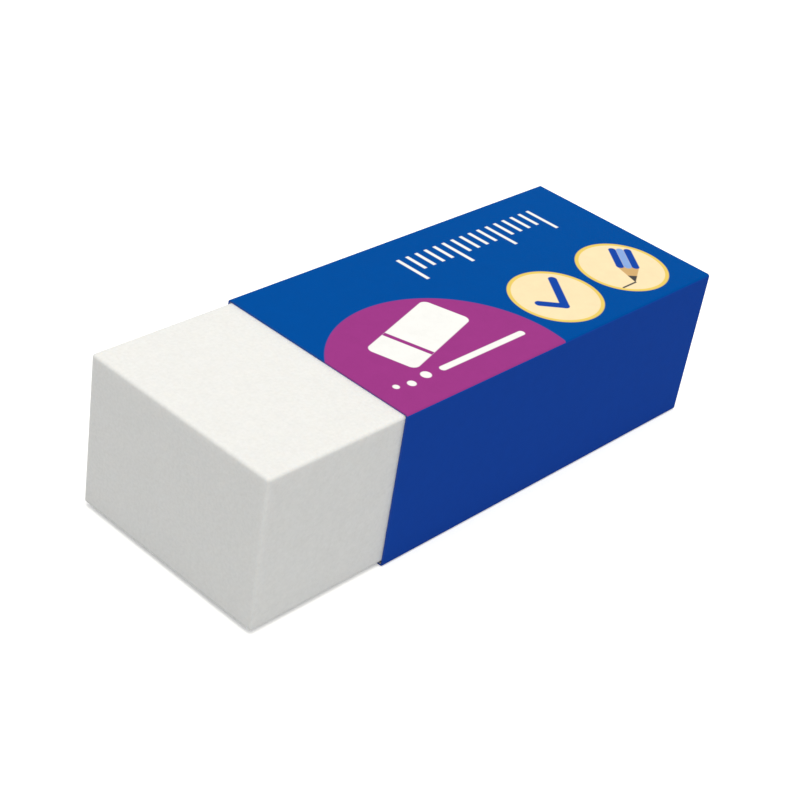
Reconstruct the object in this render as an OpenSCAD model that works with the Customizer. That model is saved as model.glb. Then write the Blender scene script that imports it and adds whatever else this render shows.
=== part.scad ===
// Rubber eraser: a white vinyl block in a folded card sleeve, in millimetres.
// X runs along the block, with its bare end at -X. Y runs across it and +Z is up.
// The origin is under the middle of the block, on the surface that the sleeve lies on.
// The sleeve slides along X, and comes off over either end.

/* [Block] */
// Length of the block from end to end
block_l = 46; // [38:0.5:66]
// Width of the block
block_w = 17; // [14:0.5:24]
// Height of the block
block_h = 12; // [9:0.5:16]
// Radius of the softened edges all round the block
edge_r = 0.25; // [0.15:0.05:1.5]

/* [Sleeve] */
// Length of the sleeve, which ends level with the covered end of the block
sleeve_l = 34; // [24:0.5:36]
// Thickness of the card
card_t = 0.15; // [0.12:0.01:0.35]
// Radius inside each fold of the card
fold_r = 0.06; // [0.05:0.01:0.3]
// Width of the glued flap inside the bottom, which the block lies on
flap_w = 12; // [9.5:0.5:13]
// How far the outer bottom panel stops short of the far side
seam_step = 0.08; // [0.05:0.01:0.2]

/* [Fit] */
// Play between the block and each side panel
side_play = 0.02; // [0.01:0.01:0.2]
// Play between the block and the top panel
top_play = 0.02; // [0.01:0.01:0.2]

/* [Hidden] */
$fn = 64;

// Levels above the surface that the eraser lies on
glue_z = card_t;
rest_z = glue_z + card_t;
roof_z = rest_z + block_h + top_play;
// Half the width of the space inside the sleeve
wall_y = block_w / 2 + side_play;
// Every fold turns about a line that lies one inner radius inside both of its panels
fold_y = wall_y - fold_r;
// How far the hidden cutting shapes run past what they cut
past = 1;

vinyl_white = [0.95, 0.95, 0.93];
card_blue = [0.0, 0.32, 0.64];

// Turns an outline drawn in Y and Z into a bar of length l along X, from x = from_x
module along_x(l, from_x) {
    translate([from_x, 0, 0])
        rotate([90, 0, 90])
            linear_extrude(height = l)
                children();
}

// Rectangle a by b about the origin, with its corners rounded to radius r
module soft_rectangle(a, b, r) {
    square([a - 2 * r, b], center = true);
    square([a, b - 2 * r], center = true);
    for (sx = [-1, 1], sy = [-1, 1])
        translate([sx * (a / 2 - r), sy * (b / 2 - r)])
            circle(r = r);
}

// Flat panel of card between two corners of its section
module panel(low, high) {
    translate(low)
        square(high - low);
}

// Quarter turn of card about a fold line at [y, z], on the side that the signs point to
module fold(y, z, side_y, side_z) {
    reach = fold_r + card_t;
    translate([y, z])
        difference() {
            intersection() {
                circle(r = reach);
                translate([min(0, side_y * reach), min(0, side_z * reach)])
                    square(reach);
            }
            circle(r = fold_r);
        }
}

// The block has the section of a soft rectangle seen from each of its three directions
module eraser_block() {
    color(vinyl_white)
        translate([0, 0, rest_z + block_h / 2])
            intersection() {
                along_x(block_l + 2 * past, -block_l / 2 - past)
                    soft_rectangle(block_w, block_h, edge_r);
                translate([0, 0, -block_h / 2 - past])
                    linear_extrude(height = block_h + 2 * past)
                        soft_rectangle(block_l, block_w, edge_r);
                translate([0, block_w / 2 + past, 0])
                    rotate([90, 0, 0])
                        linear_extrude(height = block_w + 2 * past)
                            soft_rectangle(block_l, block_h, edge_r);
            }
}

// One strip of card seen from its end. It starts at the outer bottom panel, goes up the
// near side, over the top and down the far side, and ends in the flap inside the bottom.
module sleeve_section() {
    panel([-fold_y, 0], [wall_y + card_t - seam_step, glue_z]);
    fold(-fold_y, glue_z + fold_r, -1, -1);
    panel([-wall_y - card_t, glue_z + fold_r], [-wall_y, roof_z - fold_r]);
    fold(-fold_y, roof_z - fold_r, -1, 1);
    panel([-fold_y, roof_z], [fold_y, roof_z + card_t]);
    fold(fold_y, roof_z - fold_r, 1, 1);
    panel([wall_y, rest_z + fold_r], [wall_y + card_t, roof_z - fold_r]);
    fold(fold_y, rest_z + fold_r, 1, -1);
    panel([wall_y - flap_w, glue_z], [fold_y, rest_z]);
}

module card_sleeve() {
    color(card_blue)
        along_x(sleeve_l, block_l / 2 - sleeve_l)
            sleeve_section();
}

eraser_block();
card_sleeve();
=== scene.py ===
# %% [markdown]
# # A block eraser in its card sleeve
#
# The object has two pieces: a white vinyl block, and one strip of printed card that is
# folded round it and glued. The construction, the sizes and the sliding joint are already
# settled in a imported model, which loads first and is the frame for everything here. This
# lesson gives the two pieces their looks: soft moulded edges, folded card with real
# thickness, ink, and the light that shows them.

# %% Load the frame
import math

import bmesh
import bpy
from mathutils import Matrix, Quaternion, Vector


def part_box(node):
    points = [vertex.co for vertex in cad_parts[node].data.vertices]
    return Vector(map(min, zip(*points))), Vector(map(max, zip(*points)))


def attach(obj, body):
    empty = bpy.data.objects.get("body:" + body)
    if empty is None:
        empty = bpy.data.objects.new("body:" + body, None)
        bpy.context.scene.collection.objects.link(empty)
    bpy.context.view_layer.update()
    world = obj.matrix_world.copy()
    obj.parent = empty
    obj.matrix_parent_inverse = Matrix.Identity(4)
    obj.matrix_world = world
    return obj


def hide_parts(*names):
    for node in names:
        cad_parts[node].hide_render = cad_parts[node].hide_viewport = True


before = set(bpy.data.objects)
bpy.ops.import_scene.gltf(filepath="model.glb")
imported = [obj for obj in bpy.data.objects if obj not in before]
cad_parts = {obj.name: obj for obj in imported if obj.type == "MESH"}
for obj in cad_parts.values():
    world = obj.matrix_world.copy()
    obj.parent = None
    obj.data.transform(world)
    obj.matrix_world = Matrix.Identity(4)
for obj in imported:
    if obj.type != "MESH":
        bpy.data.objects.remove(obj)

bpy.ops.object.select_all(action="DESELECT")
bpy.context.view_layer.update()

# %% [markdown]
# ## Sizes from the frame
#
# Everything is in metres, and a millimetre is easier to think in on an object this small.
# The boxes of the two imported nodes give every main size: the block's length, width and
# height, the sleeve's outside, and how far the block stands clear of the table on the two
# layers of card under it. The few sizes that a box can't tell are named here once.

# %% Sizes
mm = 0.001
block_low, block_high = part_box("eraser_block")
sleeve_low, sleeve_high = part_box("card_sleeve")

edge_radius = 0.25 * mm
card = (block_low.z - sleeve_low.z) / 2
fold_inside = 0.06 * mm
fold_outside = fold_inside + card
seam_step = 0.08 * mm
flap_width = 12 * mm

print("block, mm:", [round(side / mm, 2) for side in block_high - block_low])
print("sleeve, mm:", [round(side / mm, 2) for side in sleeve_high - sleeve_low])
print("card, mm:", round(card / mm, 3))

# %% [markdown]
# ## The camera
#
# The view looks down on the bare end of the block, with the sleeve running away to the
# upper right. The picture is a little tilted, so the camera is turned about its own line
# of sight after it is aimed. A long lens at arm's length keeps the far end from shrinking
# too much. Depth of field stays off, as the whole object is sharp.

# %% Camera
eye = Vector((-85.2, -67.1, 74.0)) * mm
aim = Vector((-2.6, -1.1, 6.3)) * mm
camera_roll = math.radians(9.5)
sensor_width = 36.0
lens = 79.1

bpy.ops.object.camera_add(location=eye)
camera = bpy.context.active_object
camera.name = "camera"
camera.data.sensor_width = sensor_width
camera.data.lens = lens
camera.data.clip_start = 1 * mm
camera.data.dof.use_dof = False
aimed = (aim - eye).to_track_quat("-Z", "Y")
camera.rotation_euler = (aimed @ Quaternion((0, 0, 1), camera_roll)).to_euler()
bpy.context.scene.camera = camera
print("camera:", round((aim - eye).length / mm), "mm away, lens", lens)

# %% [markdown]
# ## Nodes and colours
#
# Colours are easiest to write as the hex values of a paint program, but shaders work in
# linear light, so one function converts them. A second small function adds a node, sets
# its options and fills its sockets with plain values or with links from other nodes. A
# socket goes by its name or by its number. A Mix node has a pair of sockets for plain
# values and another for colours, all called A and B, so their numbers get names here, and
# so does the number of the output that gives the mixed colour.

# %% Helpers for materials
mix_share, value_a, value_b, colour_a, colour_b = 0, 2, 3, 6, 7
mixed_colour = 2


def linear(hex_colour):
    """The linear RGBA of a colour written as #RRGGBB in sRGB."""
    channels = [int(hex_colour[i:i + 2], 16) / 255 for i in (1, 3, 5)]
    return tuple(c / 12.92 if c <= 0.04045 else ((c + 0.055) / 1.055) ** 2.4 for c in channels) + (1.0,)


def add(tree, kind, options=None, sockets=None):
    """Adds a node to tree, sets its options and fills its sockets, by name or number."""
    node = tree.nodes.new(kind)
    for option, value in (options or {}).items():
        setattr(node, option, value)
    for socket, value in (sockets or {}).items():
        if isinstance(value, bpy.types.NodeSocket):
            tree.links.new(value, node.inputs[socket])
        else:
            node.inputs[socket].default_value = value
    return node


def new_material(name):
    """An empty node material, with its tree and its output node."""
    material = bpy.data.materials.new(name)
    material.use_nodes = True
    material.node_tree.nodes.clear()
    return material, material.node_tree, add(material.node_tree, "ShaderNodeOutputMaterial")


white = linear("#FFFFFF")
print("white in linear light:", white)

# %% [markdown]
# ## The studio
#
# The light is a plain white room with one large soft lamp high above the object. The lamp
# leans a little towards the camera, so the upward faces get the full light and both
# visible sides get about two thirds of it. It is faintly warm, as the top of the block is
# a shade warmer than its sides. What the camera and smooth surfaces see of the room is
# brighter than what lights the object, so the backdrop is white and nothing is washed out.

# %% World
room_strength = 0.435
backdrop_strength = 1.0

world = bpy.data.worlds.new("white_room")
bpy.context.scene.world = world
world.use_nodes = True
tree = world.node_tree
tree.nodes.clear()
rays = add(tree, "ShaderNodeLightPath")
mirrored = add(tree, "ShaderNodeMath", {"operation": "MAXIMUM"}, {
    0: rays.outputs["Is Glossy Ray"],
    1: rays.outputs["Is Transmission Ray"],
})
seen = add(tree, "ShaderNodeMath", {"operation": "MAXIMUM"}, {
    0: rays.outputs["Is Camera Ray"],
    1: mirrored.outputs[0],
})
lighting = add(tree, "ShaderNodeBackground", sockets={"Color": white, "Strength": room_strength})
backdrop = add(tree, "ShaderNodeBackground", sockets={"Color": white, "Strength": backdrop_strength})
shown = add(tree, "ShaderNodeMixShader", sockets={
    0: seen.outputs[0],
    1: lighting.outputs[0],
    2: backdrop.outputs[0],
})
add(tree, "ShaderNodeOutputWorld", sockets={"Surface": shown.outputs[0]})
bpy.context.scene.view_settings.view_transform = "Standard"
print("room strength", room_strength)

# %% Lamp
lamp_strength = 1.9
lamp_colour = "#FFFDF3"
lamp_lean = Vector((-0.12, -0.165, 1.0))
lamp_softness = math.radians(50)
lamp_height = 100 * mm

bpy.ops.object.light_add(type="SUN", location=lamp_lean * lamp_height)
lamp = bpy.context.active_object
lamp.name = "soft_lamp"
lamp.data.energy = lamp_strength
lamp.data.angle = lamp_softness
lamp.data.color = linear(lamp_colour)[:3]
lamp.rotation_euler = lamp_lean.to_track_quat("Z", "Y").to_euler()
print("lamp strength", lamp_strength)

# %% [markdown]
# The table is white where the camera sees it, with a glow that leaves only a faint shadow
# under the object. What it throws back at the object is set by a second colour, greyer and
# a little cooler, which is how a photographer tones down a table that lights the sides too
# much. It lies a hair under the sleeve, so that the two faces don't flicker in one plane.

# %% Table
table_side = 3.0
table_drop = 0.01 * mm
table_glow = 0.3
table_bounce = "#CFD1D3"

bpy.ops.mesh.primitive_plane_add(size=table_side, location=(0, 0, sleeve_low.z - table_drop))
table = bpy.context.active_object
table.name = "table"
matt_white, tree, output = new_material("matt_white_table")
rays = add(tree, "ShaderNodeLightPath")
paper = add(tree, "ShaderNodeBsdfDiffuse", sockets={"Color": white})
glow = add(tree, "ShaderNodeEmission", sockets={"Color": white, "Strength": table_glow})
facing_camera = add(tree, "ShaderNodeAddShader", sockets={0: paper.outputs[0], 1: glow.outputs[0]})
facing_object = add(tree, "ShaderNodeBsdfDiffuse", sockets={"Color": linear(table_bounce)})
either = add(tree, "ShaderNodeMixShader", sockets={
    0: rays.outputs["Is Camera Ray"],
    1: facing_object.outputs[0],
    2: facing_camera.outputs[0],
})
tree.links.new(either.outputs[0], output.inputs["Surface"])
table.data.materials.append(matt_white)
print("table:", table_side, "m wide")

# %% [markdown]
# ## The vinyl block
#
# The real block is cut from a moulded bar of soft white vinyl and tumbled, which rounds
# every edge by a few tenths of a millimetre. A cube primitive is stretched to the block's
# box, all its edges are bevelled, and the six big faces get a narrow inset. That frame of
# faces round each flat side keeps the shading flat right up to the bevel.

# %% Model the block
edge_segments = 8
flat_sides = 6
hold_width = 0.2 * mm

bpy.ops.object.select_all(action="DESELECT")
block_middle = (block_low + block_high) / 2
bpy.ops.mesh.primitive_cube_add(size=1, location=block_middle, scale=block_high - block_low)
block = bpy.context.active_object
block.name = block.data.name = "vinyl_block"
bpy.ops.object.transform_apply(location=True, rotation=True, scale=True)

bpy.ops.object.mode_set(mode="EDIT")
bpy.ops.mesh.select_all(action="SELECT")
bpy.ops.mesh.bevel(offset=edge_radius, offset_type="OFFSET", segments=edge_segments, affect="EDGES")
mesh = bmesh.from_edit_mesh(block.data)
largest = sorted(mesh.faces, key=lambda face: face.calc_area())[-flat_sides:]
for face in mesh.faces:
    face.select_set(face in largest)
bmesh.update_edit_mesh(block.data)
bpy.ops.mesh.inset(thickness=hold_width, use_individual=True)
bpy.ops.object.mode_set(mode="OBJECT")
bpy.ops.object.shade_smooth()
print("block:", len(block.data.polygons), "faces")

# %% [markdown]
# ## The folded card sleeve
#
# The sleeve is one strip of card. It starts at a cut edge at the bottom of the far side,
# runs under the block, up the near side, over the top and down the far side, and ends in
# a flap that is glued inside the bottom. So it is modelled as it is folded: a plane for
# the first panel, whose near edge is extruded from fold to fold.

# %% Fold the strip
seam_y = sleeve_high.y - seam_step
sleeve_size = sleeve_high - sleeve_low
folding = [
    (0, 0, sleeve_size.z),
    (0, sleeve_size.y, 0),
    (0, 0, card - sleeve_size.z),
    (0, -flap_width - card, 0),
]

bpy.ops.object.select_all(action="DESELECT")
panel_middle = ((sleeve_low.x + sleeve_high.x) / 2, (sleeve_low.y + seam_y) / 2, sleeve_low.z)
bpy.ops.mesh.primitive_plane_add(size=1, location=panel_middle)
sleeve = bpy.context.active_object
sleeve.name = sleeve.data.name = "printed_sleeve"
sleeve.scale = (sleeve_size.x, seam_y - sleeve_low.y, 1)
bpy.ops.object.transform_apply(location=True, rotation=True, scale=True)

bpy.ops.object.mode_set(mode="EDIT")
bpy.ops.mesh.select_mode(type="EDGE")
bpy.ops.mesh.select_all(action="DESELECT")
mesh = bmesh.from_edit_mesh(sleeve.data)
for edge in mesh.edges:
    edge.select_set(all(abs(corner.co.y - sleeve_low.y) < card / 2 for corner in edge.verts))
bmesh.update_edit_mesh(sleeve.data)
for step in folding:
    bpy.ops.mesh.extrude_region_move(TRANSFORM_OT_translate={"value": step})
bpy.ops.object.mode_set(mode="OBJECT")
print("panels:", len(sleeve.data.polygons))

# %% [markdown]
# Card bends round a small radius at a crease, so the four folds are bevelled. A long panel
# that meets a round fold shades as if it were curved all the way across, so the strip is
# also cut across close to each fold with Bisect. The narrow band between the cut and the
# fold takes up the turn of the shading, and the panel stays flat.

# %% Round the folds and hold the panels flat
fold_segments = 6
hold = fold_outside + hold_width
cuts = [
    ((0, sleeve_low.y + hold, 0), (0, 1, 0)),
    ((0, sleeve_high.y - hold, 0), (0, 1, 0)),
    ((0, 0, sleeve_low.z + card + hold), (0, 0, 1)),
    ((0, 0, sleeve_high.z - hold), (0, 0, 1)),
]

bpy.ops.object.mode_set(mode="EDIT")
mesh = bmesh.from_edit_mesh(sleeve.data)
for edge in mesh.edges:
    edge.select_set(len(edge.link_faces) == 2)
bmesh.update_edit_mesh(sleeve.data)
bpy.ops.mesh.bevel(offset=fold_outside, offset_type="OFFSET", segments=fold_segments, affect="EDGES")
for place, across in cuts:
    bpy.ops.mesh.select_all(action="SELECT")
    bpy.ops.mesh.bisect(plane_co=place, plane_no=across)
bpy.ops.object.mode_set(mode="OBJECT")
print("strip:", len(sleeve.data.polygons), "faces")

# %% [markdown]
# Solidify gives the strip the card's thickness. It grows inwards from the printed side, so
# that side has to face outwards first. It also deals the faces out to three materials: the
# printed side, the bare back of the card, and the cut edges. The three slots are made
# before it is applied, and the materials that fill them come later.

# %% Give the card its thickness
smooth_below = math.radians(40)
printed_side, card_back, cut_edge = range(3)

top_panel = max(sleeve.data.polygons, key=lambda face: face.center.z)
if top_panel.normal.z < 0:
    bpy.ops.object.mode_set(mode="EDIT")
    bpy.ops.mesh.select_all(action="SELECT")
    bpy.ops.mesh.flip_normals()
    bpy.ops.object.mode_set(mode="OBJECT")

for slot in (printed_side, card_back, cut_edge):
    sleeve.data.materials.append(None)
thickness = sleeve.modifiers.new("card", "SOLIDIFY")
thickness.thickness = card
thickness.offset = -1
thickness.use_even_offset = True
thickness.material_offset = card_back
thickness.material_offset_rim = cut_edge
bpy.ops.object.select_all(action="DESELECT")
sleeve.select_set(True)
bpy.context.view_layer.objects.active = sleeve
bpy.ops.object.modifier_apply(modifier=thickness.name)
bpy.ops.object.shade_smooth_by_angle(angle=smooth_below)
dealt = [face.material_index for face in sleeve.data.polygons]
print("faces, printed, back and cut:", [dealt.count(slot) for slot in (printed_side, card_back, cut_edge)])

# %% [markdown]
# ## Soft white vinyl
#
# An eraser is plasticised vinyl filled with chalk, moulded as a bar. It is nearly white,
# dull but with a slight waxy sheen, and a little light goes in and comes out again, so its
# edges look soft. The surface has a fine grain, faint clouds where the filler isn't even,
# and shallow upright drag marks on the sides from the blade that cut the bar. Three noises
# give these, and the one for the drag marks is drawn out along Z. A noise's scale is how
# many times it varies in a metre, so it is one over the pitch. The real grain is about a
# tenth of a millimetre, too fine to show in a picture of the whole object, so it is drawn
# over twice as coarse.

# %% Clouds, grain and drag marks of the vinyl
cloud_pitch = 1.8 * mm
# Over twice as coarse as the real grain, so that it shows
grain_pitch = 0.24 * mm
drag_pitch = 0.45 * mm
drag_length = 7 * mm

vinyl, tree, output = new_material("moulded_white_vinyl")
place = add(tree, "ShaderNodeTexCoord").outputs["Object"]
clouds = add(tree, "ShaderNodeTexNoise", sockets={
    "Vector": place,
    "Scale": 1 / cloud_pitch,
    "Detail": 5.0,
    "Roughness": 0.65,
})
grain = add(tree, "ShaderNodeTexNoise", sockets={
    "Vector": place,
    "Scale": 1 / grain_pitch,
    "Detail": 4.0,
    "Roughness": 0.6,
})
drawn_out = add(tree, "ShaderNodeMapping", sockets={
    "Vector": place,
    "Scale": (1, 1, drag_pitch / drag_length),
})
drag = add(tree, "ShaderNodeTexNoise", sockets={
    "Vector": drawn_out.outputs[0],
    "Scale": 1 / drag_pitch,
    "Detail": 3.0,
})
print("vinyl grain", grain_pitch / mm, "mm, drag marks", drag_length / mm, "mm long")

# %% [markdown]
# The clouds and the grain together shade the vinyl between two near whites, and the clouds
# make its sheen uneven. A noise seldom leaves the middle of its range, so that middle is
# stretched to the whole range before it shades anything. The grain and the drag marks are
# bumps of about a hundredth of a millimetre. Soft vinyl has an IOR of about 1.53. The chalk
# in its skin dulls the reflection to about half, which the specular level gives.

# %% Vinyl surface
noise_low, noise_high = 0.3, 0.7
grain_share = 0.75
grain_height, drag_height = 0.012 * mm, 0.012 * mm
drag_strength = 0.6
vinyl_dark, vinyl_light = "#ECECEC", "#F6F6F6"
vinyl_smooth, vinyl_dull = 0.46, 0.62
vinyl_ior, vinyl_level = 1.53, 0.23
skin_depth = 0.8 * mm

speckle = add(tree, "ShaderNodeMix", sockets={
    mix_share: grain_share,
    value_a: clouds.outputs[0],
    value_b: grain.outputs[0],
})
shade = add(tree, "ShaderNodeMapRange", sockets={
    "Value": speckle.outputs[0],
    "From Min": noise_low,
    "From Max": noise_high,
})
chalky = add(tree, "ShaderNodeMix", {"data_type": "RGBA"}, {
    mix_share: shade.outputs[0],
    colour_a: linear(vinyl_dark),
    colour_b: linear(vinyl_light),
})
sheen = add(tree, "ShaderNodeMapRange", sockets={
    "Value": clouds.outputs[0],
    "To Min": vinyl_smooth,
    "To Max": vinyl_dull,
})
dragged = add(tree, "ShaderNodeBump", sockets={
    "Height": drag.outputs[0],
    "Distance": drag_height,
    "Strength": drag_strength,
})
grained = add(tree, "ShaderNodeBump", sockets={
    "Height": grain.outputs[0],
    "Distance": grain_height,
    "Normal": dragged.outputs[0],
})
surface = add(tree, "ShaderNodeBsdfPrincipled", sockets={
    "Base Color": chalky.outputs[mixed_colour],
    "Roughness": sheen.outputs[0],
    "Normal": grained.outputs[0],
    "IOR": vinyl_ior,
    "Specular IOR Level": vinyl_level,
    "Subsurface Weight": 0.25,
    "Subsurface Radius": (1.0, 0.9, 0.8),
    "Subsurface Scale": skin_depth,
})
tree.links.new(surface.outputs[0], output.inputs["Surface"])
block.data.materials.append(vinyl)
print("vinyl IOR", vinyl_ior, "with", len(tree.nodes), "nodes")

# %% [markdown]
# ## Printed card
#
# The sleeve is coated card, printed in flat inks and sealed with a thin dull varnish. All
# the print lies on the top panel, and it is made of plain shapes: a large disc that runs
# off two edges, two round badges with golden rims, a small drawing in each and a scale of
# millimetres. A shape is a distance from some place or edge, and ink lies where that
# distance is small enough. The edge of the ink fades over a few hundredths of a
# millimetre, as wet ink spreads a little into the card. Places and sizes are millimetres
# on the flat panel, from the open edge and from the fold on the near side.

# %% Lay ink within a distance
ink_spread = 0.04


def lay(tree, under, colour, inked):
    """Covers what is printed with a colour, or with other print, where inked is 1."""
    over = colour if isinstance(colour, bpy.types.NodeSocket) else linear(colour)
    both = {mix_share: inked, colour_a: under, colour_b: over}
    return add(tree, "ShaderNodeMix", {"data_type": "RGBA"}, both).outputs[mixed_colour]


def closer_than(tree, distance, reach):
    """1 where distance is less than reach and 0 past it, with the spread of the ink between."""
    return add(tree, "ShaderNodeMapRange", sockets={
        "Value": distance,
        "From Min": reach + ink_spread,
        "From Max": reach - ink_spread,
    }).outputs[0]


def seen_from(tree, flat, place, turn):
    """The flat panel measured from a place on it, along lines turned by turn degrees."""
    return add(tree, "ShaderNodeMapping", {"vector_type": "TEXTURE"}, {
        "Vector": flat,
        "Location": (*place, 0),
        "Rotation": (0, 0, math.radians(turn)),
    }).outputs[0]


print("ink edges soft over", 2 * ink_spread, "mm")

# %% [markdown]
# One function lays a rounded bar. The panel is folded about the bar's middle, so that one
# quarter stands for all four, and the distance is measured from the core that is left when
# the corner's radius is taken off all round. A bar as wide as it is high, with its corners
# fully rounded, is a disc.

# %% Bars and discs of ink
def ink(tree, flat, under, colour, centre, size, corner=None, turn=0.0):
    """Lays a rounded bar of ink. A size of one number is a disc's diameter."""
    wide, high = size if isinstance(size, tuple) else (size, size)
    corner = min(wide, high) / 2 if corner is None else corner
    own = seen_from(tree, flat, centre, turn)
    core = (wide / 2 - corner, high / 2 - corner, 0)
    folded = add(tree, "ShaderNodeVectorMath", {"operation": "ABSOLUTE"}, {0: own})
    beyond = add(tree, "ShaderNodeVectorMath", {"operation": "SUBTRACT"}, {0: folded.outputs[0], 1: core})
    outside = add(tree, "ShaderNodeVectorMath", {"operation": "MAXIMUM"}, {
        0: beyond.outputs[0],
        1: (0, 0, 0),
    })
    distance = add(tree, "ShaderNodeVectorMath", {"operation": "LENGTH"}, {0: outside.outputs[0]})
    return lay(tree, under, colour, closer_than(tree, distance.outputs["Value"], corner))


print("bars and discs: corners up to half their lesser side")

# %% [markdown]
# A stroke is a bar with round ends, turned to run from one point to another. A point is a
# wedge, for the tip of a pencil: ink lies where the distance off its axis is less than a
# share of the distance from the tip.

# %% Strokes and points of ink
def ink_stroke(tree, flat, under, colour, start, end, width):
    """Lays a stroke of ink with round ends between two points."""
    run = Vector(end) - Vector(start)
    middle = (Vector(start) + Vector(end)) / 2
    turn = math.degrees(math.atan2(run.y, run.x))
    return ink(tree, flat, under, colour, middle, (run.length + width, width), turn=turn)


def ink_point(tree, flat, under, colour, tip, size, turn):
    """Lays a pointed wedge of ink, size long and wide, which starts at its tip."""
    long, wide = size
    own = add(tree, "ShaderNodeSeparateXYZ", sockets={0: seen_from(tree, flat, tip, turn)})
    off_axis = add(tree, "ShaderNodeMath", {"operation": "ABSOLUTE"}, {0: own.outputs["Y"]})
    edge = add(tree, "ShaderNodeMath", {"operation": "MULTIPLY"}, {0: own.outputs["X"], 1: wide / 2 / long})
    past_edge = add(tree, "ShaderNodeMath", {"operation": "SUBTRACT"}, {
        0: off_axis.outputs[0],
        1: edge.outputs[0],
    })
    past_end = add(tree, "ShaderNodeMath", {"operation": "SUBTRACT"}, {0: own.outputs["X"], 1: long})
    outside = add(tree, "ShaderNodeMath", {"operation": "MAXIMUM"}, {
        0: past_edge.outputs[0],
        1: past_end.outputs[0],
    })
    return lay(tree, under, colour, closer_than(tree, outside.outputs[0], 0))


def heading(turn):
    """The unit vector that points turn degrees round from the sleeve's length."""
    return Vector((math.cos(math.radians(turn)), math.sin(math.radians(turn))))


print("a stroke at 90 degrees heads", [round(value, 3) for value in heading(90)])

# %% [markdown]
# The inks are matched to the object: a bright cobalt ground on the top panel and
# a deeper ultramarine on the sides, a red violet disc, cream badges with golden rims and
# white drawings. The panel's coordinates are in millimetres, and a second set with its
# height left out is what the shapes are measured in.

# %% Ground, disc and badges
cobalt, ultramarine, violet = "#004FA3", "#1849AE", "#A13B8C"
cream, gold, paper_white = "#FFEAC0", "#F2D36E", "#FCFCFC"
disc_centre, disc_width = (7.2, 1.85), 18.56
badge_width, badge_rim = 7.3, 0.3
tick_badge, pencil_badge = Vector((20.7, 4.6)), Vector((28.8, 4.65))

print_ink, tree, output = new_material("printed_coated_card")
place = add(tree, "ShaderNodeTexCoord").outputs["Object"]
panel = add(tree, "ShaderNodeMapping", {"vector_type": "TEXTURE"}, {
    "Vector": place,
    "Location": (sleeve_low.x, sleeve_low.y, 0),
    "Scale": (mm, mm, mm),
}).outputs[0]
flat = add(tree, "ShaderNodeVectorMath", {"operation": "MULTIPLY"}, {0: panel, 1: (1, 1, 0)}).outputs[0]

printed = ink(tree, flat, linear(cobalt), violet, disc_centre, disc_width)
for badge in (tick_badge, pencil_badge):
    printed = ink(tree, flat, printed, gold, badge, badge_width)
    printed = ink(tree, flat, printed, cream, badge, badge_width - 2 * badge_rim)
print("disc", disc_width, "mm, badges", badge_width, "mm")

# %% [markdown]
# On the disc lies an eraser, askew, with the end of a line that it is rubbing out and a
# few crumbs. The small gap across it is the edge of its own sleeve.

# %% Eraser on the disc
rubber_middle, rubber_turn = Vector((8.1, 6.6)), 16
rubber_size, rubber_corner = (8.6, 3.9), 0.55
gap_back, gap_width, gap_corner = 1.7, 0.4, 0.05
line_start, line_end, line_width = (6.2, 2.6), (14.4, 2.6), 0.55
crumbs = [((4.6, 2.7), 0.8), ((3.0, 2.5), 0.65), ((1.8, 2.8), 0.5)]

gap_middle = rubber_middle - heading(rubber_turn) * gap_back
gap_size = (gap_width, rubber_size[1])
printed = ink(tree, flat, printed, paper_white, rubber_middle, rubber_size, rubber_corner, rubber_turn)
printed = ink(tree, flat, printed, violet, gap_middle, gap_size, gap_corner, rubber_turn)
printed = ink_stroke(tree, flat, printed, paper_white, line_start, line_end, line_width)
for crumb, crumb_width in crumbs:
    printed = ink(tree, flat, printed, paper_white, crumb, crumb_width)
print("crumbs:", len(crumbs))

# %% [markdown]
# The first badge has a tick of two strokes. In the second a pencil stands on its point:
# a wedge of bare wood, three facets of paint whose round starts are the scallops that a
# sharpener leaves, a smaller wedge of lead, and the line that it has drawn.

# %% Drawings in the badges
tick_foot = tick_badge + Vector((-0.5, -1.3))
tick_tips = [Vector((-1.4, 1.3)), Vector((2.3, 3.1))]
tick_width = 0.7
pencil_wood, pencil_lead, pencil_blue = "#D9B27A", "#4A4A4C", "#8FB0EA"
pencil_tip, pencil_turn = pencil_badge + Vector((-1.0, -2.1)), 52
cone_size, lead_share = Vector((2.4, 1.86)), 0.4
paint_from, paint_to, facet = 2.4, 4.9, 0.62
drawn_length, drawn_width = 1.5, 0.16

for tip in tick_tips:
    printed = ink_stroke(tree, flat, printed, ultramarine, tick_foot, tick_foot + tip, tick_width)

along, sideways = heading(pencil_turn), heading(pencil_turn + 90)
printed = ink_point(tree, flat, printed, pencil_wood, pencil_tip, cone_size, pencil_turn)
for side, paint in ((-1, ultramarine), (1, ultramarine), (0, pencil_blue)):
    facet_tip = pencil_tip + sideways * facet * side
    start, end = facet_tip + along * paint_from, facet_tip + along * paint_to
    printed = ink_stroke(tree, flat, printed, paint, start, end, facet)
printed = ink_point(tree, flat, printed, pencil_lead, pencil_tip, cone_size * lead_share, pencil_turn)
drawn_from = pencil_tip - Vector((drawn_length, 0))
printed = ink_stroke(tree, flat, printed, pencil_lead, drawn_from, pencil_tip, drawn_width)
print("tick and pencil drawn")

# %% [markdown]
# Along the far edge runs a scale of millimetres, with a longer line at every fifth.

# %% Millimetre scale
scale_from, scale_top, scale_steps = 14.4, 14.8, 15
long_line, short_line = (0.32, 3.2), (0.32, 2.0)
long_every = 5
line_corner = 0.05

for step in range(scale_steps + 1):
    line = long_line if step % long_every == 0 else short_line
    middle = (scale_from + step, scale_top - line[1] / 2)
    printed = ink(tree, flat, printed, paper_white, middle, line, line_corner)
print("print:", len(tree.nodes), "nodes")

# %% [markdown]
# The sides take the deeper ink, which starts halfway round each fold. Flat ink on card is
# never quite even, so a fine noise lightens and darkens it by a few parts in a hundred.

# %% Sides and unevenness of the ink
ink_pitch = 1.1 * mm
ink_thin, ink_full = 0.97, 1.03

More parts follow.
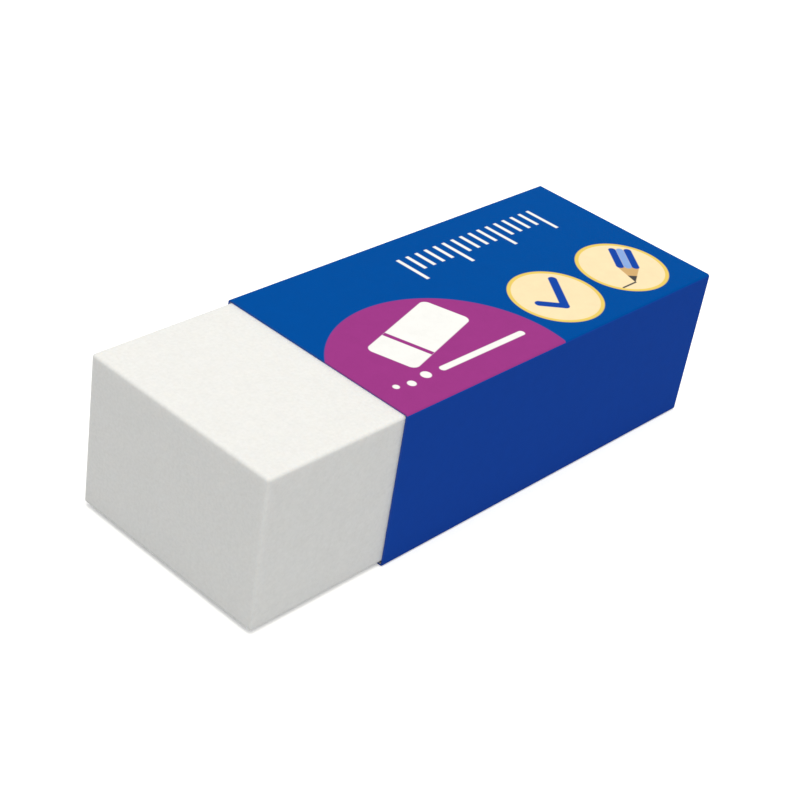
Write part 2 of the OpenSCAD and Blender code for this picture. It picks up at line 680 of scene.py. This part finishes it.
split = add(tree, "ShaderNodeSeparateXYZ", sockets={0: panel})
turned_down = (sleeve_high.z - fold_outside / 2) / mm
on_top = add(tree, "ShaderNodeMath", {"operation": "GREATER_THAN"}, {0: split.outputs["Z"], 1: turned_down})
printed = lay(tree, linear(ultramarine), printed, on_top.outputs[0])

ink_noise = add(tree, "ShaderNodeTexNoise", sockets={
    "Vector": place,
    "Scale": 1 / ink_pitch,
    "Detail": 6.0,
    "Roughness": 0.7,
})
density = add(tree, "ShaderNodeMapRange", sockets={
    "Value": ink_noise.outputs[0],
    "From Min": noise_low,
    "From Max": noise_high,
    "To Min": ink_thin,
    "To Max": ink_full,
})
uneven = add(tree, "ShaderNodeHueSaturation", sockets={"Value": density.outputs[0], "Color": printed})
print("ink uneven over", ink_pitch / mm, "mm")

# %% [markdown]
# A water based varnish has an IOR of about 1.48. This one is so dull that the card mirrors
# almost nothing, which its very low specular level gives. The tooth of the card shows
# through it as a very shallow bump. Real paper fibres are some hundredths of a millimetre
# wide, too fine to show from here, so the tooth is drawn a few times as coarse.

# %% Varnish and tooth
# A few times as coarse as real paper fibres, so that the tooth shows
tooth_pitch = 0.22 * mm
tooth_height = 0.007 * mm
varnish_smooth, varnish_dull = 0.48, 0.6
varnish_ior, varnish_level = 1.48, 0.01

tooth = add(tree, "ShaderNodeTexNoise", sockets={"Vector": place, "Scale": 1 / tooth_pitch, "Detail": 2.0})
toothed = add(tree, "ShaderNodeBump", sockets={"Height": tooth.outputs[0], "Distance": tooth_height})
varnish = add(tree, "ShaderNodeMapRange", sockets={
    "Value": ink_noise.outputs[0],
    "To Min": varnish_smooth,
    "To Max": varnish_dull,
})
surface = add(tree, "ShaderNodeBsdfPrincipled", sockets={
    "Base Color": uneven.outputs[0],
    "Roughness": varnish.outputs[0],
    "Normal": toothed.outputs[0],
    "IOR": varnish_ior,
    "Specular IOR Level": varnish_level,
})
tree.links.new(surface.outputs[0], output.inputs["Surface"])
print("card tooth", tooth_pitch / mm, "mm")

# %% [markdown]
# The cut edges are the same card in section. The knife drags ink along as it parts the
# card, so an edge has the colour of the print beside it with a little paper showing, and
# it is rough, with no varnish. A copy of the printed material is changed in those two
# ways. The copy's nodes have the same names, which is how they are found.

# %% Cut edges of the card
bare_paper = "#C9D3E4"
dragged_ink = 0.97
edge_roughness = 0.9

cut_card = print_ink.copy()
cut_card.name = "cut_card_edge"
tree = cut_card.node_tree
cut_surface = tree.nodes[surface.name]
inked_pulp = lay(tree, linear(bare_paper), tree.nodes[uneven.name].outputs[0], dragged_ink)
tree.links.new(inked_pulp, cut_surface.inputs["Base Color"])
tree.links.remove(cut_surface.inputs["Roughness"].links[0])
cut_surface.inputs["Roughness"].default_value = edge_roughness
print("ink on the cut edges:", dragged_ink)

# %% [markdown]
# Inside, the card is bare board with soft fibres that lie along the sleeve's length. As on
# the printed side, they are drawn wider than they are.

# %% Back of the card
# A few times as wide as real fibres, so that they show
fibre_pitch = 0.18 * mm
fibre_length = 1.4 * mm
fuzz_height = 0.014 * mm
fibre_smooth, fibre_dull = 0.8, 0.95
pulp_dark, pulp_pale = "#CFCABD", "#E4E0D6"
pulp_level = 0.2

bare_card, tree, output = new_material("uncoated_card_back")
place = add(tree, "ShaderNodeTexCoord").outputs["Object"]
laid = add(tree, "ShaderNodeMapping", sockets={
    "Vector": place,
    "Scale": (fibre_pitch / fibre_length, 1, 1),
})
fibres = add(tree, "ShaderNodeTexNoise", sockets={
    "Vector": laid.outputs[0],
    "Scale": 1 / fibre_pitch,
    "Detail": 4.0,
})
pulp = add(tree, "ShaderNodeMix", {"data_type": "RGBA"}, {
    mix_share: fibres.outputs[0],
    colour_a: linear(pulp_dark),
    colour_b: linear(pulp_pale),
})
fuzz = add(tree, "ShaderNodeBump", sockets={"Height": fibres.outputs[0], "Distance": fuzz_height})
rough = add(tree, "ShaderNodeMapRange", sockets={
    "Value": fibres.outputs[0],
    "To Min": fibre_smooth,
    "To Max": fibre_dull,
})
surface = add(tree, "ShaderNodeBsdfPrincipled", sockets={
    "Base Color": pulp.outputs[mixed_colour],
    "Roughness": rough.outputs[0],
    "Normal": fuzz.outputs[0],
    "Specular IOR Level": pulp_level,
})
tree.links.new(surface.outputs[0], output.inputs["Surface"])

card_materials = sleeve.data.materials
card_materials[printed_side] = print_ink
card_materials[card_back] = bare_card
card_materials[cut_edge] = cut_card
print("sleeve materials:", [material.name for material in card_materials])

# %% [markdown]
# ## The pieces on their bodies
#
# Each piece stands for the imported node of the same form and rides on its body, so the
# sleeve slides along the block when the joint moves.

# %% Bodies
for piece, node, body, slot in (
    (block, "eraser_block", "block", "vinyl"),
    (sleeve, "card_sleeve", "sleeve", "card"),
):
    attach(piece, body)
    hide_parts(node)
